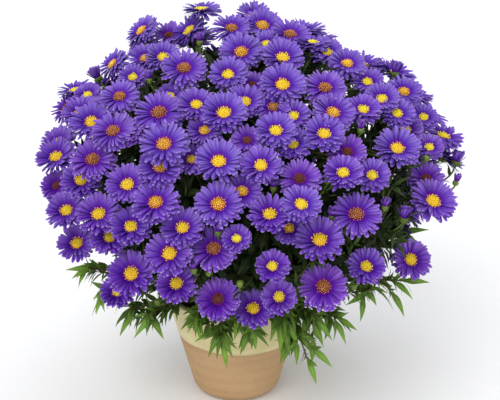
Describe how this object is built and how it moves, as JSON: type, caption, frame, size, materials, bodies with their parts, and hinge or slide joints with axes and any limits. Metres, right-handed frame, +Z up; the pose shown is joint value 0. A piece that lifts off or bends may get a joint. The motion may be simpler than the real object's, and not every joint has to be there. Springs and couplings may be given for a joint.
{
  "type": "potted aster",
  "caption": "A potted aster in full bloom: a domed bush of violet daisies with yellow and brown discs on leafy stems, standing in the soil of a clay pot with a glazed rim band",
  "frame": {"origin": "centre of the pot's flat base, on the surface that it stands on", "axes": "+Z up; the front, which the picture shows, faces -Y; +X to the right of that view"},
  "size_m": [0.363, 0.3401, 0.3366],
  "materials": {
    "pot": "matt sandy clay with a satin olive glaze band round the top",
    "soil": "damp dark potting soil",
    "foliage": "soft green leaves and stems",
    "petal": "soft violet petals"
  },
  "bodies": {
    "root": {"leafy_stem_01": "foliage", "leafy_stem_02": "foliage", "leafy_stem_03": "foliage", "leafy_stem_04": "foliage", "leafy_stem_05": "foliage", "leafy_stem_06": "foliage", "leafy_stem_07": "foliage", "leafy_stem_08": "foliage", "leafy_stem_09": "foliage", "leafy_stem_10": "foliage", "leafy_stem_11": "foliage", "leafy_stem_12": "foliage", "leafy_stem_13": "foliage", "pot": "pot", "soil": "soil", "spray_01": "petal", "spray_02": "petal", "spray_03": "petal", "spray_04": "petal", "spray_05": "petal", "spray_06": "petal", "spray_07": "petal", "spray_08": "petal", "spray_09": "petal", "spray_10": "petal", "spray_11": "petal", "spray_12": "petal", "spray_13": "petal", "spray_14": "petal", "spray_15": "petal", "spray_16": "petal", "spray_17": "petal", "spray_18": "petal", "spray_19": "petal", "spray_20": "petal", "spray_21": "petal", "spray_22": "petal", "spray_23": "petal", "spray_24": "petal", "spray_25": "petal", "spray_26": "petal", "spray_27": "petal", "spray_28": "petal", "spray_29": "petal", "spray_30": "petal", "spray_31": "petal", "spray_32": "petal", "spray_33": "petal", "spray_34": "petal", "spray_35": "petal", "spray_36": "petal", "spray_37": "petal", "spray_38": "petal"}
  },
  "joints": []
}
